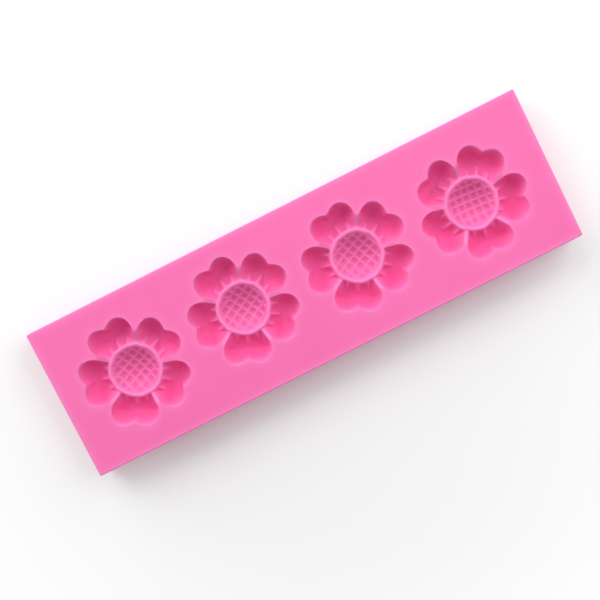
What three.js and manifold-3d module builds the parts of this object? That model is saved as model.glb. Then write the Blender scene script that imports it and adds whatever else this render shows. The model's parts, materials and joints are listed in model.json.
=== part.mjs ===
// Silicone chocolate mould: a flexible slab with a row of flower cavities in its upper face.
// Millimetres, +Z up. The slab lies on z = 0 with its length along X, centred on the origin.
// Each cell is a block from which one master flower has been taken; plain webs join the cells.
import * as THREE from "three";
import { mergeVertices } from "three/addons/utils/BufferGeometryUtils.js";
import Module from "manifold-3d";

const wasm = await Module();
wasm.setup();

const degree = Math.PI / 180;

// Flower, seen from above: petals with two lobes, around a raised ring and a centre disc.
const petalCount = 5;
const flowerRadius = 15;
const notchDepth = 1.6;
const cleftDepth = 3.7;
const lobeAngle = 15 * degree;
const lobePower = 1.8;
const ringRadius = 7.4;
const ringCrest = 0.9;
const ringWall = 1.1;
const ridgeWidth = 0.6;

// Flower, downwards from the slab's upper face.
const petalDepth = 5.4;
const petalSwell = 3.3;
const rootShare = 0.84;
const ringDepth = 1.8;
const bowlDepth = 5.2;
const bowlPower = 2.4;

// Short ribs that stand on the ring and run out into each petal.
const ribRun = 2.8;
const ribDrop = 0.2;
const ribAngle = 20 * degree;
const ribSpread = 2.6 * degree;

// Waffle ridges on the disc.
const wafflePitch = 2.04;
const waffleShift = 0.5;
const waffleTurn = -4.3 * degree;
const waffleHeight = 0.42;
const waffleWidth = 0.6;
const waffleEdge = 0.6;

// Slab around the flowers.
const sideMargin = 6.5;
const leftMargin = 6.6;
const rightMargin = 7.6;
const cellWall = 0.55;
const webWidth = 2.5;
const floorThickness = 4.6;
const cornerRadius = 0.8;

// The four flowers were set by hand, so each has its own turn and its own shift across the slab.
const placements = [
  { turn: 27 * degree, shift: -0.1 },
  { turn: 33.5 * degree, shift: 1.75 },
  { turn: 28.9 * degree, shift: 0.5 },
  { turn: 269.6 * degree, shift: -0.75 },
];

const silicone = { color: 0xfb74b6, roughness: 0.62, metalness: 0 };

// Sizes that follow from the ones above.
const halfPetal = Math.PI / petalCount;
const cleftRadius = flowerRadius - cleftDepth;
const lobeRadius = (flowerRadius + ringRadius) / 2;
const ridgeSpread = Math.asin(ridgeWidth / 2 / ringRadius);
const discRadius = ringRadius - ringCrest;
const slabThickness = petalDepth + floorThickness;
const slabWidth = 2 * (flowerRadius + sideMargin);
const flowerPitch = 2 * (flowerRadius + cellWall) + webWidth;
const leftReach = flowerRadius + leftMargin;
const rightReach = flowerRadius + rightMargin;
const slabLength = leftReach + flowerPitch * (placements.length - 1) + rightReach;
const firstFlowerX = leftReach - slabLength / 2;

function easeInOut(t) {
  const s = THREE.MathUtils.clamp(t, 0, 1);
  return s * s * (3 - 2 * s);
}

// Quarter-round rise from 0 at an edge to 1 at the full swell.
function quarterRound(t) {
  const s = 1 - THREE.MathUtils.clamp(t, 0, 1);
  return Math.sqrt(1 - s * s);
}

// Distance from the flower's centre to its outline, at an angle from a petal's axis. It is
// greatest on each lobe and falls to the notch on the axis and to the cleft between two petals.
function outlineRadius(angle) {
  const off = Math.abs(angle) - lobeAngle;
  const drop = off < 0 ? notchDepth : cleftDepth;
  const span = off < 0 ? lobeAngle : halfPetal - lobeAngle;
  return flowerRadius - drop * (Math.abs(off) / span) ** lobePower;
}

// Depth of the disc surface below the slab's upper face.
function bowlSurface(r) {
  const share = 1 - Math.min(1, r / discRadius) ** bowlPower;
  return ringDepth + (bowlDepth - ringDepth) * share;
}

// Depth of the petal surface below the slab's upper face. A ridge that parts two petals
// climbs from the ring to the cleft, and ribs run down from the ring to the petal's floor.
function petalSurface(r, angle) {
  const a = Math.abs(angle);
  const fromRing = r - ringRadius;
  const ridge = ringDepth * (1 - easeInOut(fromRing / (cleftRadius - ringRadius)));
  const rise = easeInOut(fromRing / (lobeRadius - ringRadius));
  const floor = petalDepth * (rootShare + (1 - rootShare) * rise);
  const fromRidge = r * Math.sin(halfPetal - a) - ridgeWidth / 2;
  const fromTip = outlineRadius(a) - r;
  const swell = quarterRound(fromRidge / petalSwell) * quarterRound(fromTip / petalSwell);
  const depth = ridge + (floor - ridge) * swell * quarterRound(fromRing / ringWall);
  const offRib = Math.min(a, Math.abs(a - ribAngle)) / ribSpread;
  if (offRib >= 1 || fromRing >= ribRun) {
    return depth;
  }
  const crest = ringDepth + ribDrop + (floor - ringDepth - ribDrop) * (fromRing / ribRun);
  return depth + (Math.min(depth, crest) - depth) * (1 - offRib);
}

// Closed solid from a stack of loops, with a point that closes it at each end.
function loft(loops, firstPoint, lastPoint) {
  const count = loops[0].length;
  const positions = [...firstPoint, ...loops.flat(2), ...lastPoint];
  const lastIndex = 1 + loops.length * count;
  const indices = [];
  for (let i = 0; i < count; i += 1) {
    const next = (i + 1) % count;
    indices.push(0, 1 + next, 1 + i);
    for (let k = 0; k < loops.length - 1; k += 1) {
      const low = 1 + k * count;
      const high = low + count;
      indices.push(low + i, low + next, high + next);
      indices.push(low + i, high + next, high + i);
    }
    indices.push(lastIndex, lastIndex - count + i, lastIndex - count + next);
  }
  const geometry = new THREE.BufferGeometry();
  geometry.setAttribute("position", new THREE.Float32BufferAttribute(positions, 3));
  geometry.setIndex(indices);
  return geometry;
}

function toSolid(geometry) {
  const bare = geometry.clone();
  bare.deleteAttribute("normal");
  bare.deleteAttribute("uv");
  const welded = mergeVertices(bare, 1e-4);
  const vertProperties = new Float32Array(welded.attributes.position.array);
  const triVerts = new Uint32Array(welded.index.array);
  return new wasm.Manifold(new wasm.Mesh({ numProp: 3, vertProperties, triVerts }));
}

function toGeometry(solid) {
  const mesh = solid.getMesh();
  const geometry = new THREE.BufferGeometry();
  geometry.setAttribute("position", new THREE.BufferAttribute(mesh.vertProperties, 3));
  geometry.setIndex(new THREE.BufferAttribute(mesh.triVerts, 1));
  geometry.computeVertexNormals();
  return geometry;
}

// Angles of the master flower's lines over one petal, closest where the surface turns sharply.
function petalAngles() {
  const ribEdge = ribAngle + ribSpread;
  const ridgeEdge = halfPetal - ridgeSpread;
  const half = [
    ribSpread,
    ribAngle / 2,
    ribAngle - ribSpread,
    ribAngle,
    ribEdge,
    (2 * ribEdge + ridgeEdge) / 3,
    (ribEdge + 2 * ridgeEdge) / 3,
    ridgeEdge,
  ];
  const mirrored = half.map((a) => -a).reverse();
  return [-halfPetal, ...mirrored, 0, ...half];
}

// The master flower stands upside down, its face in the slab and its back above the slab.
function masterFlower() {
  const back = slabThickness + 1;
  const angles = petalAngles();
  const loopAt = (share, height) => {
    const loop = [];
    for (let petal = 0; petal < petalCount; petal += 1) {
      for (const angle of angles) {
        const r = ringRadius + (outlineRadius(angle) - ringRadius) * share;
        const around = angle + petal * 2 * halfPetal;
        const z = height ?? slabThickness - petalSurface(r, angle);
        loop.push([r * Math.cos(around), r * Math.sin(around), z]);
      }
    }
    return loop;
  };
  const shares = [0, 0.1, 0.26, 0.5, 0.76, 0.93, 1];
  const loops = [...shares.map((share) => loopAt(share)), loopAt(1, back)];
  const petals = loft(loops, [0, 0, slabThickness - ringDepth], [0, 0, back]);
  const disc = toSolid(masterDisc(back)).subtract(waffleGrooves());
  return toSolid(petals).add(disc);
}

// Domed disc in the middle of the master flower.
function masterDisc(back) {
  const sides = 36;
  const loopAt = (r, z) => {
    const loop = [];
    for (let i = 0; i < sides; i += 1) {
      const around = (i / sides) * 2 * Math.PI;
      loop.push([r * Math.cos(around), r * Math.sin(around), z]);
    }
    return loop;
  };
  const shares = [0.36, 0.7, 0.88, 1];
  const loops = shares.map((share) => {
    const r = discRadius * share;
    return loopAt(r, slabThickness - bowlSurface(r));
  });
  return loft([...loops, loopAt(discRadius, back)], [0, 0, slabThickness - bowlDepth], [0, 0, back]);
}

// Crossed grooves in the master's disc, each a three-sided bar bent to follow the disc.
function waffleGrooves() {
  const radius = discRadius - waffleEdge;
  const reach = 0.96 * radius;
  const steps = 6;
  const bars = [];
  const first = Math.ceil((-reach - waffleShift) / wafflePitch);
  for (let line = first; line * wafflePitch + waffleShift < reach; line += 1) {
    const offset = line * wafflePitch + waffleShift;
    const halfLength = Math.sqrt(radius ** 2 - offset ** 2);
    const loops = [];
    for (let step = 0; step <= steps; step += 1) {
      const along = halfLength * ((2 * step) / steps - 1);
      const z = slabThickness - bowlSurface(Math.hypot(offset, along));
      loops.push([
        [along, offset - waffleWidth, z - waffleHeight],
        [along, offset + waffleWidth, z - waffleHeight],
        [along, offset, z + waffleHeight],
      ]);
    }
    const endHeight = slabThickness - bowlSurface(radius);
    const bar = loft(loops, [-halfLength, offset, endHeight], [halfLength, offset, endHeight]);
    bars.push(toSolid(bar.clone().rotateZ(waffleTurn)));
    bars.push(toSolid(bar.clone().rotateZ(waffleTurn + Math.PI / 2)));
  }
  return bars.reduce((all, bar) => all.add(bar));
}

// Block of slab from one end to the other, with the slab's own corners rounded.
function slabBlock(left, right, roundLeft, roundRight) {
  const half = slabWidth / 2;
  const leftRadius = roundLeft ? cornerRadius : 0;
  const rightRadius = roundRight ? cornerRadius : 0;
  const shape = new THREE.Shape();
  shape.moveTo(left + leftRadius, -half);
  shape.lineTo(right - rightRadius, -half);
  if (roundRight) {
    shape.absarc(right - cornerRadius, cornerRadius - half, cornerRadius, -Math.PI / 2, 0);
  }
  shape.lineTo(right, half - rightRadius);
  if (roundRight) {
    shape.absarc(right - cornerRadius, half - cornerRadius, cornerRadius, 0, Math.PI / 2);
  }
  shape.lineTo(left + leftRadius, half);
  if (roundLeft) {
    shape.absarc(left + cornerRadius, half - cornerRadius, cornerRadius, Math.PI / 2, Math.PI);
  }
  shape.lineTo(left, leftRadius - half);
  if (roundLeft) {
    shape.absarc(left + cornerRadius, cornerRadius - half, cornerRadius, Math.PI, 1.5 * Math.PI);
  }
  return new THREE.ExtrudeGeometry(shape, { depth: slabThickness, bevelEnabled: false, curveSegments: 6 });
}

function addPiece(group, name, geometry) {
  const mesh = new THREE.Mesh(geometry, new THREE.MeshStandardMaterial(silicone));
  mesh.name = name;
  group.add(mesh);
}

const mould = new THREE.Group();
mould.name = "silicone_chocolate_mould";

const master = masterFlower();
const lastCell = placements.length - 1;
placements.forEach(({ turn, shift }, index) => {
  const x = firstFlowerX + index * flowerPitch;
  const left = index === 0 ? -slabLength / 2 : x - (flowerPitch - webWidth) / 2;
  const right = index === lastCell ? slabLength / 2 : x + (flowerPitch - webWidth) / 2;
  const block = toSolid(slabBlock(left, right, index === 0, index === lastCell));
  const flower = master.rotate([0, 0, turn / degree]).translate([x, shift, 0]);
  addPiece(mould, `flower_cell_${index + 1}`, toGeometry(block.subtract(flower)));
  if (index < lastCell) {
    const web = new THREE.BoxGeometry(webWidth, slabWidth, slabThickness);
    web.translate(right + webWidth / 2, 0, slabThickness / 2);
    addPiece(mould, `flex_web_${index + 1}`, web);
  }
});

export default mould;
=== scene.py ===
"""Looks of the silicone chocolate mould: a pink slab that bends between its four flower cavities.

The slab is three skins that meet on planes through the middle of the second and third flowers.
Sizes of the slab are millimetres until a mesh is made. The floor,
the lamps and the camera are placed in metres.
"""

import json
import math

import bpy
import numpy as np
from mathutils import Matrix, Vector


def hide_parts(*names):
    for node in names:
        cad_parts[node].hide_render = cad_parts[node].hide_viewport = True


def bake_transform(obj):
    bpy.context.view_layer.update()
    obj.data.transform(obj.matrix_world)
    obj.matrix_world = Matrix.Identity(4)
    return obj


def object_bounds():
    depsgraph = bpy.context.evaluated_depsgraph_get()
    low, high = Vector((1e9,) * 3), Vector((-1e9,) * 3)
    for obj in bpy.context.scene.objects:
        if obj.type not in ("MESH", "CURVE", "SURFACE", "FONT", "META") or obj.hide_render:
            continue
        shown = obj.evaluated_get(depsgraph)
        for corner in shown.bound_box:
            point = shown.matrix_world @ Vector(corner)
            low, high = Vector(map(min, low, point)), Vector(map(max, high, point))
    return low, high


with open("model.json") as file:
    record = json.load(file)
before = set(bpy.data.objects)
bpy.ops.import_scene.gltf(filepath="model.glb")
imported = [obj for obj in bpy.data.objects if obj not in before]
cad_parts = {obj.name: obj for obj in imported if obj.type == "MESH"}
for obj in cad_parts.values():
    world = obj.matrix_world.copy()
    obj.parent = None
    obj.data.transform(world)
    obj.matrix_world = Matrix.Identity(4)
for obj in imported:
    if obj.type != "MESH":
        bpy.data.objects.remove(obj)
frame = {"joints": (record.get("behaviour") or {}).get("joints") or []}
cad_low, cad_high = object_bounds()

# Slab, read from the frame.
HALF_LENGTH = cad_high.x * 1000
HALF_WIDTH = cad_high.y * 1000
THICKNESS = cad_high.z * 1000
BEND_X = [joint["pos_m"][0] * 1000 for joint in frame["joints"]]
PITCH = BEND_X[1] - BEND_X[0]
FLOWER_X = [x - PITCH / 2 for x in BEND_X] + [BEND_X[2] + PITCH / 2]

# Turn and sideways shift of each flower.
FLOWER_TURN = np.radians([27.0, 33.5, 28.9, 269.6])
FLOWER_SHIFT = [-0.1, 1.75, 0.5, -0.75]

QUARTER_TURN = math.pi / 2

# Flower, seen from above.
HALF_PETAL = math.pi / 5
FLOWER_RADIUS = 15.0
NOTCH_DEPTH = 1.7
NOTCH_SOFTNESS = math.radians(1.2)
CLEFT_DEPTH = 3.7
LOBE_ANGLE = math.radians(15.0)
LOBE_POWER = 1.8
LIP_REACH = 0.15
RING_INNER = 6.5
RING_OUTER = 7.4
RING_MIDDLE = (RING_INNER + RING_OUTER) / 2
RIDGE_WIDTH = 0.8
RIDGE_FLARE = 0.3
PETAL_CORNER = 2.0
NOTCH_REACH = 2.2

# Unevenness of the ring: size of each wave, waves in a turn, and where the wave starts.
RING_WAVES = ((0.085, 3.0, 0.7), (0.07, 8.0, 2.1), (0.045, 13.0, 0.0))

# Flower, downwards from the upper face.
PETAL_DEPTH = 5.4
PETAL_SWELL = 3.3
ROOT_SHARE = 0.84
ROOT_RUN = 4.0
RING_DEPTH = 1.8
RING_WALL = 0.7
RING_CROWN = 0.22
CROWN_SHARPNESS = 2.2
BOWL_DEPTH = 5.2
BOWL_POWER = 2.4
BOWL_EDGE = 0.06
EDGE_SOFTNESS = 0.22

# Ribs on the ring and waffle ridges on the disc.
RIB_ANGLE = math.radians(20.0)
RIB_RUN = 3.0
SIDE_RIB_RUN = 0.86 * RIB_RUN
RIB_ROOT_WIDTH = 0.62
RIB_TIP_WIDTH = 0.44
WAFFLE_PITCH = 2.04
WAFFLE_SHIFT = 0.5
WAFFLE_TURN = math.radians(-4.3)
WAFFLE_HEIGHT = 0.34
WAFFLE_WIDTH = 0.42
WAFFLE_END = 5.5
WAFFLE_FADE = 0.8

# Edges of the slab.
TOP_FILLET = 0.35
BASE_FILLET = 0.25
CORNER_RADIUS = 0.5

# Painted glow, a pale tint that stands in for light passing through the silicone: its strength, and
# its reach, at each place.
LIP_TINT = 0.6
LIP_TINT_OUTSIDE = 1.3
LIP_TINT_INSIDE = 0.5
CREST_TINT = 0.8
CREST_TINT_REACH = 0.45
CREST_TINT_START = 0.4
RING_TINT_REACH = 0.55
WALL_TINT = 0.45
WALL_TINT_MIDDLE = RING_OUTER + 0.2
WALL_TINT_REACH = 0.9
WAFFLE_TINT = 0.6
RIB_TINT = 0.95
FULL_RELIEF = 0.35
EDGE_TINT_ACROSS = 1.2
EDGE_TINT_DOWN = 1.5

# Painted shade on the disc, a darker tint: radius where it starts to fade, and the length of the
# fade.
DISC_SHADE_END = RING_INNER - 0.9
DISC_SHADE_FADE = 0.7

# Height below which the slab has no tint.
PLAIN_HEIGHT = 0.5

# Colours of the silicone. The deeper red of the cavities and the darker colour of the discs are
# painted shade, and the pale colour is a painted glow of light passing through the silicone.
PINK = (0.85, 0.152, 0.398, 1)
MOTTLED_PINK = (0.88, 0.164, 0.420, 1)
CAVITY_SHADE_PINK = (0.93, 0.096, 0.38, 1)
DISC_SHADE_PINK = (0.70, 0.088, 0.28, 1)
PAINTED_GLOW_PINK = (0.90, 0.215, 0.51, 1)
MOTTLE_LOW = 0.3
MOTTLE_HIGH = 0.7

# Share of each colour where its stored value is 1, and the depth where the painted cavity shade
# starts.
CAVITY_SHADE_SHARE = 0.6
CAVITY_SHADE_START = 0.35
DISC_SHADE_SHARE = 0.8
PAINTED_GLOW_SHARE = 0.85

# Floor, surround and lamps.
FADE_START = 0.05
FADE_END = 0.14
SURROUND_LIGHT = 0.42
LAMP_TARGET = (0, 0, 0.01)
LAMP_SIZE = 0.55

# Grid of one half cell. The ring's rows lie between two radii, and the rows beyond are spread by a
# power that draws them to the lip.
COLUMNS = 220
LONG_SIDE_COLUMNS = 46
END_SIDE_COLUMNS = 52
CORNER_COLUMNS = 6
BOWL_ROWS = 44
RING_ROWS = 18
PETAL_ROWS = 38
LAND_ROWS = 12
FILLET_ROWS = 5
WALL_ROWS = 8
BASE_ROWS = 6
RING_ROWS_START = 6.3
RING_ROWS_END = 8.3
PETAL_SPREAD = 1.5
LAND_SPREAD = 1.3
SLOPE_STEP = 0.01
WELD_DIGITS = 5


def ease(t):
    """Smooth step: 0 before 0, 1 after 1, and 3t^2 - 2t^3 between."""
    t = np.clip(t, 0.0, 1.0)
    return t * t * (3.0 - 2.0 * t)


def soft_edge(x):
    """Distance past an edge, slowed near it so that the edge is rounded: x^3 / (x + e)^2."""
    x = np.maximum(x, 0.0)
    return x**3 / (x + EDGE_SOFTNESS) ** 2


def quarter_round(t):
    """Quarter of a circle, from 0 at an edge to 1 at the full swell."""
    s = 1.0 - np.clip(t, 0.0, 1.0)
    return np.sqrt(1.0 - s * s)


def rounded_corner(a, b, radius):
    """Distance inside two edges that meet, where a and b are the distances from each: the lesser of
    the two, with the corner between the edges rounded off to a radius."""
    round_off = radius - np.hypot(np.maximum(radius - a, 0.0), np.maximum(radius - b, 0.0))
    return np.where(np.minimum(a, b) < radius, round_off, np.minimum(a, b))


def outline_radius(a):
    """Outline of the flower at angle a from a petal's axis: the flower's radius at a lobe, less a
    power of the angle from the lobe, scaled to reach the notch on the axis and the cleft between
    petals."""
    off = np.abs(a) - LOBE_ANGLE
    cleft = CLEFT_DEPTH * (np.maximum(off, 0.0) / (HALF_PETAL - LOBE_ANGLE)) ** LOBE_POWER
    return FLOWER_RADIUS - notch_depth(a) - cleft


def notch_depth(a):
    """How far the notch in a petal's end comes in at angle a from its axis."""
    a = np.sqrt(a * a + NOTCH_SOFTNESS**2)
    return NOTCH_DEPTH * (np.maximum(LOBE_ANGLE - a, 0.0) / LOBE_ANGLE) ** LOBE_POWER


def petal_angle(theta):
    """Angle from the nearest petal's axis."""
    return (theta + HALF_PETAL) % (2.0 * HALF_PETAL) - HALF_PETAL


def flower_depth(x, y, raised=1.0):
    """Depth below the upper face at a point of the master flower. The disc is a bowl with crossed
    ridges. The ring is what is left between bowl and petals, with a crown. Each petal is a
    quarter-round swell away from its outline, its two ridges and the ring, with three ribs that run
    down from the ring. raised scales the crossed ridges and the ribs."""
    r = np.hypot(x, y)
    theta = np.arctan2(y, x)
    a = petal_angle(theta)
    wander = sum(size * np.sin(waves * theta + start) for size, waves, start in RING_WAVES)

    in_bowl = np.maximum(1.0 - (r / (RING_INNER + wander)) ** BOWL_POWER, 0.0)
    in_bowl = in_bowl**2 / (in_bowl + BOWL_EDGE)
    bowl = (BOWL_DEPTH - RING_DEPTH) * in_bowl * (1.0 + BOWL_EDGE)
    c, s = math.cos(WAFFLE_TURN), math.sin(WAFFLE_TURN)
    u, v = c * x + s * y, c * y - s * x
    half_pitch = WAFFLE_PITCH / 2
    across_u = np.abs((u + WAFFLE_SHIFT + half_pitch) % WAFFLE_PITCH - half_pitch)
    across_v = np.abs((v - WAFFLE_SHIFT + half_pitch) % WAFFLE_PITCH - half_pitch)
    ridge_u = np.exp(-((across_u / WAFFLE_WIDTH) ** 2))
    ridge_v = np.exp(-((across_v / WAFFLE_WIDTH) ** 2))
    waffle = raised * WAFFLE_HEIGHT * (1.0 - (1.0 - ridge_u) * (1.0 - ridge_v))
    bowl = bowl - waffle * (1.0 - ease((r - WAFFLE_END) / WAFFLE_FADE))

    from_ring = np.maximum(r - RING_OUTER - wander, 0.0)
    cleft_run = FLOWER_RADIUS - CLEFT_DEPTH - RING_OUTER
    ridge = RING_DEPTH * (1.0 - ease(from_ring / cleft_run))
    floor = PETAL_DEPTH * (ROOT_SHARE + (1.0 - ROOT_SHARE) * ease(from_ring / ROOT_RUN))
    ridge_width = RIDGE_WIDTH + RIDGE_FLARE * ease(from_ring / cleft_run)
    from_ridge = r * np.sin(HALF_PETAL - np.abs(a)) - ridge_width / 2
    from_tip = outline_radius(a) + LIP_REACH - r
    from_tip = from_tip + notch_depth(a) * ease(from_tip / NOTCH_REACH)
    from_edge = rounded_corner(from_ridge, from_tip, PETAL_CORNER)
    swell = quarter_round(soft_edge(from_edge) / PETAL_SWELL)
    petal = (floor - ridge) * swell * quarter_round(soft_edge(from_ring) / RING_WALL)
    over_ring = (r - wander - RING_MIDDLE) / (RING_OUTER - RING_INNER)
    crown = RING_CROWN * np.exp(-((CROWN_SHARPNESS * over_ring) ** 2))
    depth = ridge + petal + np.where(r < RING_OUTER, bowl, 0.0) - crown

    for rib, run in ((0.0, RIB_RUN), (RIB_ANGLE, SIDE_RIB_RUN)):
        across = r * np.sin(np.abs(np.abs(a) - rib))
        along = np.minimum(from_ring / run, 1.0)
        width = RIB_ROOT_WIDTH + (RIB_TIP_WIDTH - RIB_ROOT_WIDTH) * along
        bump = raised * np.exp(-((across / width) ** 2))
        crest = RING_DEPTH + (floor - RING_DEPTH) * from_ring / run
        depth = depth - np.maximum(depth - crest, 0.0) * bump * (r > RING_OUTER)
    return np.where(r > outline_radius(a) + LIP_REACH, 0.0, depth)


def slab_depth(index, x, y, raised=1.0):
    """flower_depth at a point of the slab, in the frame of flower number index."""
    turn = FLOWER_TURN[index]
    px = x - FLOWER_X[index]
    py = y - FLOWER_SHIFT[index]
    c, s = math.cos(turn), math.sin(turn)
    return flower_depth(c * px + s * py, c * py - s * px, raised)


def boundary(index, side):
    """Edge of a half cell's upper face, where the top fillet begins, from one long side of the
    slab, round the cell's outer end, to the other long side: a row of points, the outward direction
    at each, and which points lie on the slab's edge. The outer end is the slab's own end, with its
    corners rounded, or the line where the slab bends."""
    start = FLOWER_X[index]
    half_width = HALF_WIDTH - TOP_FILLET
    at_end = (index == 0 and side < 0) or (index == len(FLOWER_X) - 1 and side > 0)
    if at_end:
        reach = HALF_LENGTH - TOP_FILLET - side * start
        radius = CORNER_RADIUS - TOP_FILLET
        lengths = [reach - radius, radius * QUARTER_TURN, 2 * (half_width - radius)]
        lengths = lengths + [lengths[1], lengths[0]]
        stops = np.cumsum([0.0] + lengths)
        counts = [END_SIDE_COLUMNS, CORNER_COLUMNS]
        counts = counts + [COLUMNS - 2 * sum(counts)] + counts[::-1]
        d = np.interp(np.arange(COLUMNS + 1), np.cumsum([0] + counts), stops)
        stretches = [d < stop for stop in stops[1:5]]
        first_turn = (d - stops[1]) / radius
        second_turn = (d - stops[3]) / radius
        along = np.select(
            stretches,
            [
                d,
                reach - radius + radius * np.sin(first_turn),
                np.full_like(d, reach),
                reach - radius + radius * np.cos(second_turn),
            ],
            stops[-1] - d,
        )
        y = np.select(
            stretches,
            [
                np.full_like(d, -half_width),
                radius - half_width - radius * np.cos(first_turn),
                radius - half_width + d - stops[2],
                half_width - radius + radius * np.sin(second_turn),
            ],
            half_width,
        )
        turn = np.clip(first_turn, 0, QUARTER_TURN) + np.clip(second_turn, 0, QUARTER_TURN)
        outward = np.stack([np.sin(turn) * side, -np.cos(turn)], 1)
        on_edge = np.ones(COLUMNS + 1, bool)
    else:
        reach = PITCH / 2
        long_side = np.arange(LONG_SIDE_COLUMNS + 1) / LONG_SIDE_COLUMNS
        bend_line = np.linspace(-1.0, 1.0, COLUMNS - 2 * LONG_SIDE_COLUMNS + 1)[1:-1]
        at_side = np.ones(len(long_side))
        along = np.concatenate([long_side, np.ones(len(bend_line)), long_side[::-1]]) * reach
        y = np.concatenate([-at_side, bend_line, at_side]) * half_width
        on_edge = np.abs(y) > half_width - 1e-6
        outward = np.stack([np.zeros_like(y), np.sign(y) * on_edge], 1)
    return start + side * along, y, outward, on_edge


def half_cell(index, side):
    """Half of a cell as rows of points from the middle of its flower, out over the upper face, down
    the slab's edge and back under it to the middle. A column runs along one direction from the
    flower's centre, and its rows lie closest together on the ring and at the lip."""
    turn = np.linspace(-QUARTER_TURN, QUARTER_TURN, COLUMNS + 1)
    theta = turn if side > 0 else math.pi - turn
    cx, cy = FLOWER_X[index], FLOWER_SHIFT[index]
    lip = outline_radius(petal_angle(theta - FLOWER_TURN[index])) + LIP_REACH
    bowl = np.linspace(0.0, RING_ROWS_START, BOWL_ROWS, endpoint=False)
    ring = np.linspace(RING_ROWS_START, RING_ROWS_END, RING_ROWS, endpoint=False)
    inner = np.concatenate([bowl, ring])[:, None] * np.ones_like(theta)
    share = 1.0 - (1.0 - np.linspace(0.0, 1.0, PETAL_ROWS + 1)[:, None]) ** PETAL_SPREAD
    radius = np.concatenate([inner, RING_ROWS_END + (lip - RING_ROWS_END) * share])
    x = cx + radius * np.cos(theta)
    y = cy + radius * np.sin(theta)
    edge_x, edge_y, outward, on_edge = boundary(index, side)
    share = np.linspace(0.0, 1.0, LAND_ROWS + 1)[1:, None] ** LAND_SPREAD
    x = np.concatenate([x, x[-1] + (edge_x - x[-1]) * share])
    y = np.concatenate([y, y[-1] + (edge_y - y[-1]) * share])
    z = THICKNESS - slab_depth(index, x, y)
    rise_x = slab_depth(index, x + SLOPE_STEP, y) - slab_depth(index, x - SLOPE_STEP, y)
    rise_y = slab_depth(index, x, y + SLOPE_STEP) - slab_depth(index, x, y - SLOPE_STEP)
    top = np.stack([x, y, z], -1)
    top_normal = np.stack([rise_x, rise_y, np.full_like(x, 2 * SLOPE_STEP)], -1)
    top_normal /= np.linalg.norm(top_normal, axis=-1, keepdims=True)

    angle = np.linspace(0.0, QUARTER_TURN, FILLET_ROWS + 1)
    wall = np.linspace(THICKNESS - TOP_FILLET, BASE_FILLET, WALL_ROWS + 1)[1:-1]
    out = np.concatenate(
        [
            TOP_FILLET * np.sin(angle[1:]),
            np.full_like(wall, TOP_FILLET),
            TOP_FILLET - BASE_FILLET * (1.0 - np.cos(angle)),
        ]
    )
    height = np.concatenate(
        [
            THICKNESS - TOP_FILLET * (1.0 - np.cos(angle[1:])),
            wall,
            BASE_FILLET * (1.0 - np.sin(angle)),
        ]
    )
    lean = np.concatenate([angle[1:], np.full_like(wall, QUARTER_TURN), QUARTER_TURN + angle])
    side_x = edge_x + out[:, None] * outward[:, 0]
    side_y = edge_y + out[:, None] * outward[:, 1]
    side_z = np.broadcast_to(height[:, None], side_x.shape)
    edge = np.stack([side_x, side_y, side_z], -1)
    edge_normal = np.stack(
        [
            np.sin(lean)[:, None] * outward[:, 0],
            np.sin(lean)[:, None] * outward[:, 1],
            np.broadcast_to(np.cos(lean)[:, None], side_x.shape),
        ],
        -1,
    )

    share = np.linspace(0.0, 1.0, BASE_ROWS + 1)[:, None]
    base_x = side_x[-1] + (cx - side_x[-1]) * share
    base_y = side_y[-1] + (cy - side_y[-1]) * share
    base = np.stack([base_x, base_y, np.zeros_like(base_x)], -1)
    base_normal = np.zeros_like(base)
    base_normal[..., 2] = -1.0
    return top, top_normal, edge, edge_normal, base, base_normal, on_edge


class Skin:
    """Points, faces and normals of one skin, welded where half cells meet."""

    def __init__(self):
        self.points = []
        self.normals = []
        self.faces = []
        self.count = 0

    def add_grid(self, points, normals, keep, flip):
        """Adds a grid of rows and columns. keep says which columns' strips get faces."""
        rows, columns = points.shape[:2]
        index = self.count + np.arange(rows * columns).reshape(rows, columns)
        a, b = index[:-1, :-1], index[:-1, 1:]
        c, d = index[1:, 1:], index[1:, :-1]
        quads = np.stack([a, d, c, b] if flip else [a, b, c, d], -1)[:, keep]
        self.faces.append(quads.reshape(-1, 4))
        self.points.append(points.reshape(-1, 3))
        self.normals.append(normals.reshape(-1, 3))
        self.count += rows * columns
        return index


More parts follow.
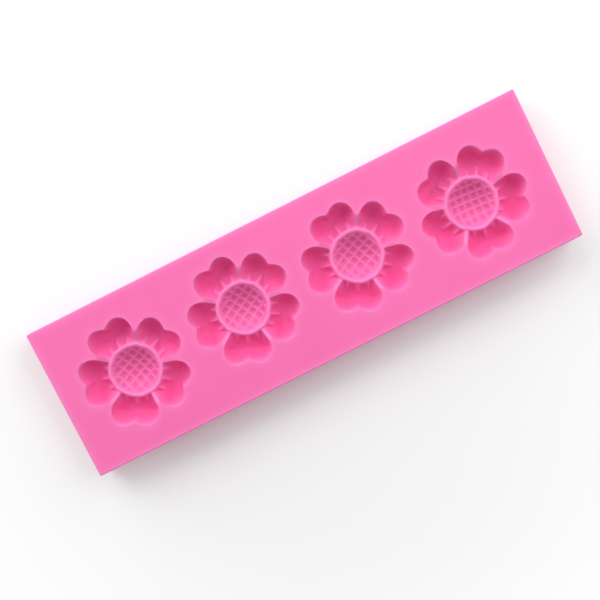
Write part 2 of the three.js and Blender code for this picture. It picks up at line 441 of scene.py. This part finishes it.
def make_skin(name, halves, caps):
    """Builds one skin from half cells. caps are the x of the planes where it is cut and closed."""
    skin = Skin()
    cap_loops = []
    everything = np.ones(COLUMNS, bool)
    for index, side in halves:
        top, top_normal, edge, edge_normal, base, base_normal, on_edge = half_cell(index, side)
        strip = on_edge[:-1] & on_edge[1:]
        flip = side > 0
        top_index = skin.add_grid(top, top_normal, everything, flip)
        joined = np.concatenate([top[-1:], edge])
        joined_normal = np.concatenate([top_normal[-1:], edge_normal])
        edge_index = skin.add_grid(joined, joined_normal, strip, flip)
        base_index = skin.add_grid(base, base_normal, everything, flip)
        if FLOWER_X[index] in caps:
            last = np.concatenate([top_index[:, -1], edge_index[:, -1], base_index[:, -1]])
            first = np.concatenate([top_index[:, 0], edge_index[:, 0], base_index[:, 0]])
            loop = np.concatenate([last, first[::-1]])
            cap_loops.append(loop if flip else loop[::-1])
    points = np.concatenate(skin.points)
    normals = np.concatenate(skin.normals)
    quads = np.concatenate(skin.faces)
    used = np.unique(quads)
    _, first, back = np.unique(
        np.round(points[used], WELD_DIGITS), axis=0, return_index=True, return_inverse=True
    )
    welded = np.full(len(points), -1)
    welded[used] = back.reshape(-1)
    points, normals = points[used[first]], normals[used[first]]
    quads = welded[quads]
    repeated = quads == np.roll(quads, 1, axis=1)
    at_pole = repeated.any(axis=1)
    triangles = quads[at_pole][~repeated[at_pole]].reshape(-1, 3)
    faces = quads[~at_pole].tolist() + triangles.tolist()
    for loop in cap_loops:
        loop = welded[loop]
        faces.append(loop[loop != np.roll(loop, 1)].tolist())
    mesh = bpy.data.meshes.new(name)
    mesh.from_pydata((points * 0.001).tolist(), [], faces)
    mesh.update()
    mesh.polygons.foreach_set("use_smooth", np.ones(len(mesh.polygons), bool))
    mesh.normals_split_custom_set_from_vertices(normals.tolist())
    skin_object = bpy.data.objects.new(name, mesh)
    bpy.context.scene.collection.objects.link(skin_object)
    store_tints(mesh, points)
    return skin_object


def bell(x, reach):
    """1 at x = 0, falling smoothly to either side over about a reach."""
    return np.exp(-((x / reach) ** 2))


def store_tints(mesh, points):
    """Stores three values at each point for the material's painted light and shade. The glow value
    says how strongly to paint a glow of light passing through the silicone: most on the rings,
    ribs, ridges and upper edges of the slab, less at the lips and on the waffle. sunk is the depth
    as a share of a petal's depth, which sets the painted shade in the cavities, and disc is 1 on
    the discs, which get a darker painted shade."""
    x, y, z = points.T
    nearest = np.clip(np.round((x - FLOWER_X[0]) / PITCH), 0, len(FLOWER_X) - 1).astype(int)
    painted_glow = np.zeros(len(x))
    disc = np.zeros(len(x))
    # Depth as a share of a petal's depth; it sets the painted shade in the cavities.
    sunk = np.clip((THICKNESS - z) / PETAL_DEPTH, 0.0, 1.0)
    for index in range(len(FLOWER_X)):
        chosen = nearest == index
        px, py = x[chosen] - FLOWER_X[index], y[chosen] - FLOWER_SHIFT[index]
        r = np.hypot(px, py)
        a = petal_angle(np.arctan2(py, px) - FLOWER_TURN[index])
        past_lip = r - outline_radius(a) - LIP_REACH
        lip = bell(past_lip, np.where(past_lip > 0, LIP_TINT_OUTSIDE, LIP_TINT_INSIDE))
        crest = bell(r * np.sin(HALF_PETAL - np.abs(a)), CREST_TINT_REACH)
        crest = crest * (past_lip < 0) * ease((r - RING_INNER) / CREST_TINT_START)
        ring = np.exp(-(((r - RING_MIDDLE) / RING_TINT_REACH) ** 4))
        wall = bell(r - WALL_TINT_MIDDLE, WALL_TINT_REACH)
        plain_depth = slab_depth(index, x[chosen], y[chosen], 0.0)
        relief = plain_depth - slab_depth(index, x[chosen], y[chosen])
        relief = np.clip(relief / FULL_RELIEF, 0.0, 1.0)
        relief = np.where(r < RING_INNER, WAFFLE_TINT, RIB_TINT) * relief
        # Painted glow of light passing through the silicone at the lip, the ridge crest, the ring,
        # the ring's outer wall, and the ribs and waffle.
        tints = [LIP_TINT * lip, CREST_TINT * crest, ring, WALL_TINT * wall, relief]
        painted_glow[chosen] = np.max(tints, axis=0)
        # Mask of the disc, where a darker painted shade goes.
        disc[chosen] = 1.0 - ease((r - DISC_SHADE_END) / DISC_SHADE_FADE)
    # Painted glow of light passing through the silicone along the slab's upper edges.
    to_edge = np.minimum(HALF_LENGTH - np.abs(x), HALF_WIDTH - np.abs(y))
    upper_edge = bell(to_edge, EDGE_TINT_ACROSS) * bell(THICKNESS - z, EDGE_TINT_DOWN)
    painted_glow = np.maximum(painted_glow, upper_edge)
    for label, values in (("painted_glow", painted_glow), ("sunk", sunk), ("disc", disc)):
        values = np.where(z < PLAIN_HEIGHT, 0.0, values)
        attribute = mesh.attributes.new(label, "FLOAT", "POINT")
        attribute.data.foreach_set("value", values.astype(np.float32))


def silicone_material():
    """Matte pink silicone, faintly mottled, with a fine grain. Painted glow makes it paler where
    light would pass through it, and painted shade makes it deeper in the cavities and darker on the
    discs."""
    material = bpy.data.materials.new("silicone")
    material.use_nodes = True
    nodes, links = material.node_tree.nodes, material.node_tree.links
    shader = nodes["Principled BSDF"]
    shader.inputs["IOR"].default_value = 1.41
    shader.inputs["Specular IOR Level"].default_value = 0.35

    place = nodes.new("ShaderNodeTexCoord")
    cloud = nodes.new("ShaderNodeTexNoise")
    cloud.inputs["Scale"].default_value = 55.0
    cloud.inputs["Detail"].default_value = 3.0
    links.new(place.outputs["Object"], cloud.inputs["Vector"])
    grain = nodes.new("ShaderNodeTexNoise")
    grain.inputs["Scale"].default_value = 1500.0
    grain.inputs["Detail"].default_value = 2.0
    links.new(place.outputs["Object"], grain.inputs["Vector"])

    def stored(label):
        node = nodes.new("ShaderNodeAttribute")
        node.attribute_name = label
        return node.outputs["Fac"]

    def mix(factor, a, b):
        node = nodes.new("ShaderNodeMix")
        node.data_type = "RGBA"
        for key, value in (("Factor", factor), ("A", a), ("B", b)):
            sockets = [s for s in node.inputs if s.name == key and s.enabled]
            if isinstance(value, bpy.types.NodeSocket):
                links.new(value, sockets[0])
            else:
                sockets[0].default_value = value
        return next(s for s in node.outputs if s.enabled)

    def scaled(value, low, high, to_low, to_high):
        node = nodes.new("ShaderNodeMapRange")
        links.new(value, node.inputs["Value"])
        node.inputs["From Min"].default_value = low
        node.inputs["From Max"].default_value = high
        node.inputs["To Min"].default_value = to_low
        node.inputs["To Max"].default_value = to_high
        return node.outputs["Result"]

    mottle = cloud.outputs["Fac"]
    pink = mix(scaled(mottle, MOTTLE_LOW, MOTTLE_HIGH, 0.0, 1.0), PINK, MOTTLED_PINK)
    # Painted shade: deeper red in the cavities, growing with depth.
    pink = mix(scaled(stored("sunk"), CAVITY_SHADE_START, 1.0, 0.0, CAVITY_SHADE_SHARE), pink, CAVITY_SHADE_PINK)
    # Painted shade: darker on the discs.
    pink = mix(scaled(stored("disc"), 0.0, 1.0, 0.0, DISC_SHADE_SHARE), pink, DISC_SHADE_PINK)
    # Painted glow: paler where light would pass through the silicone.
    pink = mix(scaled(stored("painted_glow"), 0.0, 1.0, 0.0, PAINTED_GLOW_SHARE), pink, PAINTED_GLOW_PINK)
    links.new(pink, shader.inputs["Base Color"])
    roughness = scaled(mottle, MOTTLE_LOW, MOTTLE_HIGH, 0.50, 0.66)
    links.new(roughness, shader.inputs["Roughness"])
    bump = nodes.new("ShaderNodeBump")
    bump.inputs["Strength"].default_value = 0.08
    bump.inputs["Distance"].default_value = 0.0002
    links.new(grain.outputs["Fac"], bump.inputs["Height"])
    links.new(bump.outputs["Normal"], shader.inputs["Normal"])
    return material


silicone = silicone_material()
left = make_skin("mould_left", [(0, -1), (0, 1), (1, -1)], [FLOWER_X[1]])
middle = make_skin("mould_middle", [(1, 1), (2, -1)], [FLOWER_X[1], FLOWER_X[2]])
right = make_skin("mould_right", [(2, 1), (3, -1), (3, 1)], [FLOWER_X[2]])
for number, skin in enumerate((left, middle, right)):
    skin.data.materials.append(silicone)
    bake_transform(skin)
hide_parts("flower_cell_1", "flex_web_1")
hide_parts("flower_cell_2", "flex_web_2", "flower_cell_3")
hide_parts("flex_web_3", "flower_cell_4")


def aim(thing, place, target, up):
    """Puts a camera or lamp at place, looking at target, with up pointing up in its picture."""
    back = (Vector(place) - Vector(target)).normalized()
    right_hand = Vector(up).cross(back).normalized()
    true_up = back.cross(right_hand)
    turn = Matrix((right_hand, true_up, back)).transposed()
    thing.matrix_world = Matrix.Translation(Vector(place)) @ turn.to_4x4()


def lamp(name, place, power):
    """Square soft white lamp, turned to the slab."""
    data = bpy.data.lights.new(name, "AREA")
    data.shape = "SQUARE"
    data.size = LAMP_SIZE
    data.energy = power
    item = bpy.data.objects.new(name, data)
    bpy.context.scene.collection.objects.link(item)
    aim(item, place, LAMP_TARGET, up=(0, 0.1, 1))


def set_stage():
    """Pale floor that fades into a white surround, and two soft lamps from beyond the slab."""
    bpy.ops.mesh.primitive_plane_add(size=6.0, location=(0, 0, 0))
    floor = bpy.context.object
    floor.name = "floor"
    paint = bpy.data.materials.new("floor")
    paint.use_nodes = True
    shader = paint.node_tree.nodes["Principled BSDF"]
    shader.inputs["Base Color"].default_value = (0.92, 0.92, 0.92, 1)
    shader.inputs["Roughness"].default_value = 0.9
    shader.inputs["Specular IOR Level"].default_value = 0.1
    nodes, links = paint.node_tree.nodes, paint.node_tree.links
    place = nodes.new("ShaderNodeTexCoord")
    distance = nodes.new("ShaderNodeVectorMath")
    distance.operation = "LENGTH"
    links.new(place.outputs["Object"], distance.inputs[0])
    fade = nodes.new("ShaderNodeMapRange")
    fade.interpolation_type = "SMOOTHSTEP"
    fade.inputs["From Min"].default_value = FADE_START
    fade.inputs["From Max"].default_value = FADE_END
    fade.inputs["To Min"].default_value = 1.0
    fade.inputs["To Max"].default_value = 0.0
    links.new(distance.outputs["Value"], fade.inputs["Value"])
    links.new(fade.outputs["Result"], shader.inputs["Alpha"])
    floor.data.materials.append(paint)

    world = bpy.data.worlds.new("surround")
    bpy.context.scene.world = world
    world.use_nodes = True
    nodes, links = world.node_tree.nodes, world.node_tree.links
    glow = nodes["Background"]
    glow.inputs["Color"].default_value = (1.0, 1.0, 1.0, 1)
    glow.inputs["Strength"].default_value = SURROUND_LIGHT
    seen = nodes.new("ShaderNodeBackground")
    seen.inputs["Color"].default_value = (1.0, 1.0, 1.0, 1)
    seen.inputs["Strength"].default_value = 1.0
    path = nodes.new("ShaderNodeLightPath")
    share = path.outputs["Is Camera Ray"]
    for ray in ("Is Glossy Ray", "Is Transmission Ray"):
        larger = nodes.new("ShaderNodeMath")
        larger.operation = "MAXIMUM"
        links.new(share, larger.inputs[0])
        links.new(path.outputs[ray], larger.inputs[1])
        share = larger.outputs["Value"]
    either = nodes.new("ShaderNodeMixShader")
    links.new(share, either.inputs["Fac"])
    links.new(glow.outputs["Background"], either.inputs[1])
    links.new(seen.outputs["Background"], either.inputs[2])
    links.new(either.outputs["Shader"], nodes["World Output"].inputs["Surface"])
    lamp("left_lamp", place=(-0.18, 0.50, 0.30), power=3.45)
    lamp("right_lamp", place=(0.44, 0.16, 0.38), power=2.25)


def set_camera():
    """Camera close above the slab, leaning a few degrees. The slab's length rises to the right."""
    data = bpy.data.cameras.new("camera")
    data.sensor_width = 36.0
    data.lens = 60.91
    data.clip_start = 0.01
    data.clip_end = 20.0
    camera = bpy.data.objects.new("camera", data)
    bpy.context.scene.collection.objects.link(camera)
    bpy.context.scene.camera = camera
    aim(
        camera,
        place=(0.005486, 0.017974, 0.280369),
        target=(-0.0027, -0.003036, 0.010),
        up=(0.44926, 0.88956, -0.08273),
    )


set_stage()
set_camera()
bpy.context.scene.view_settings.view_transform = "Standard"
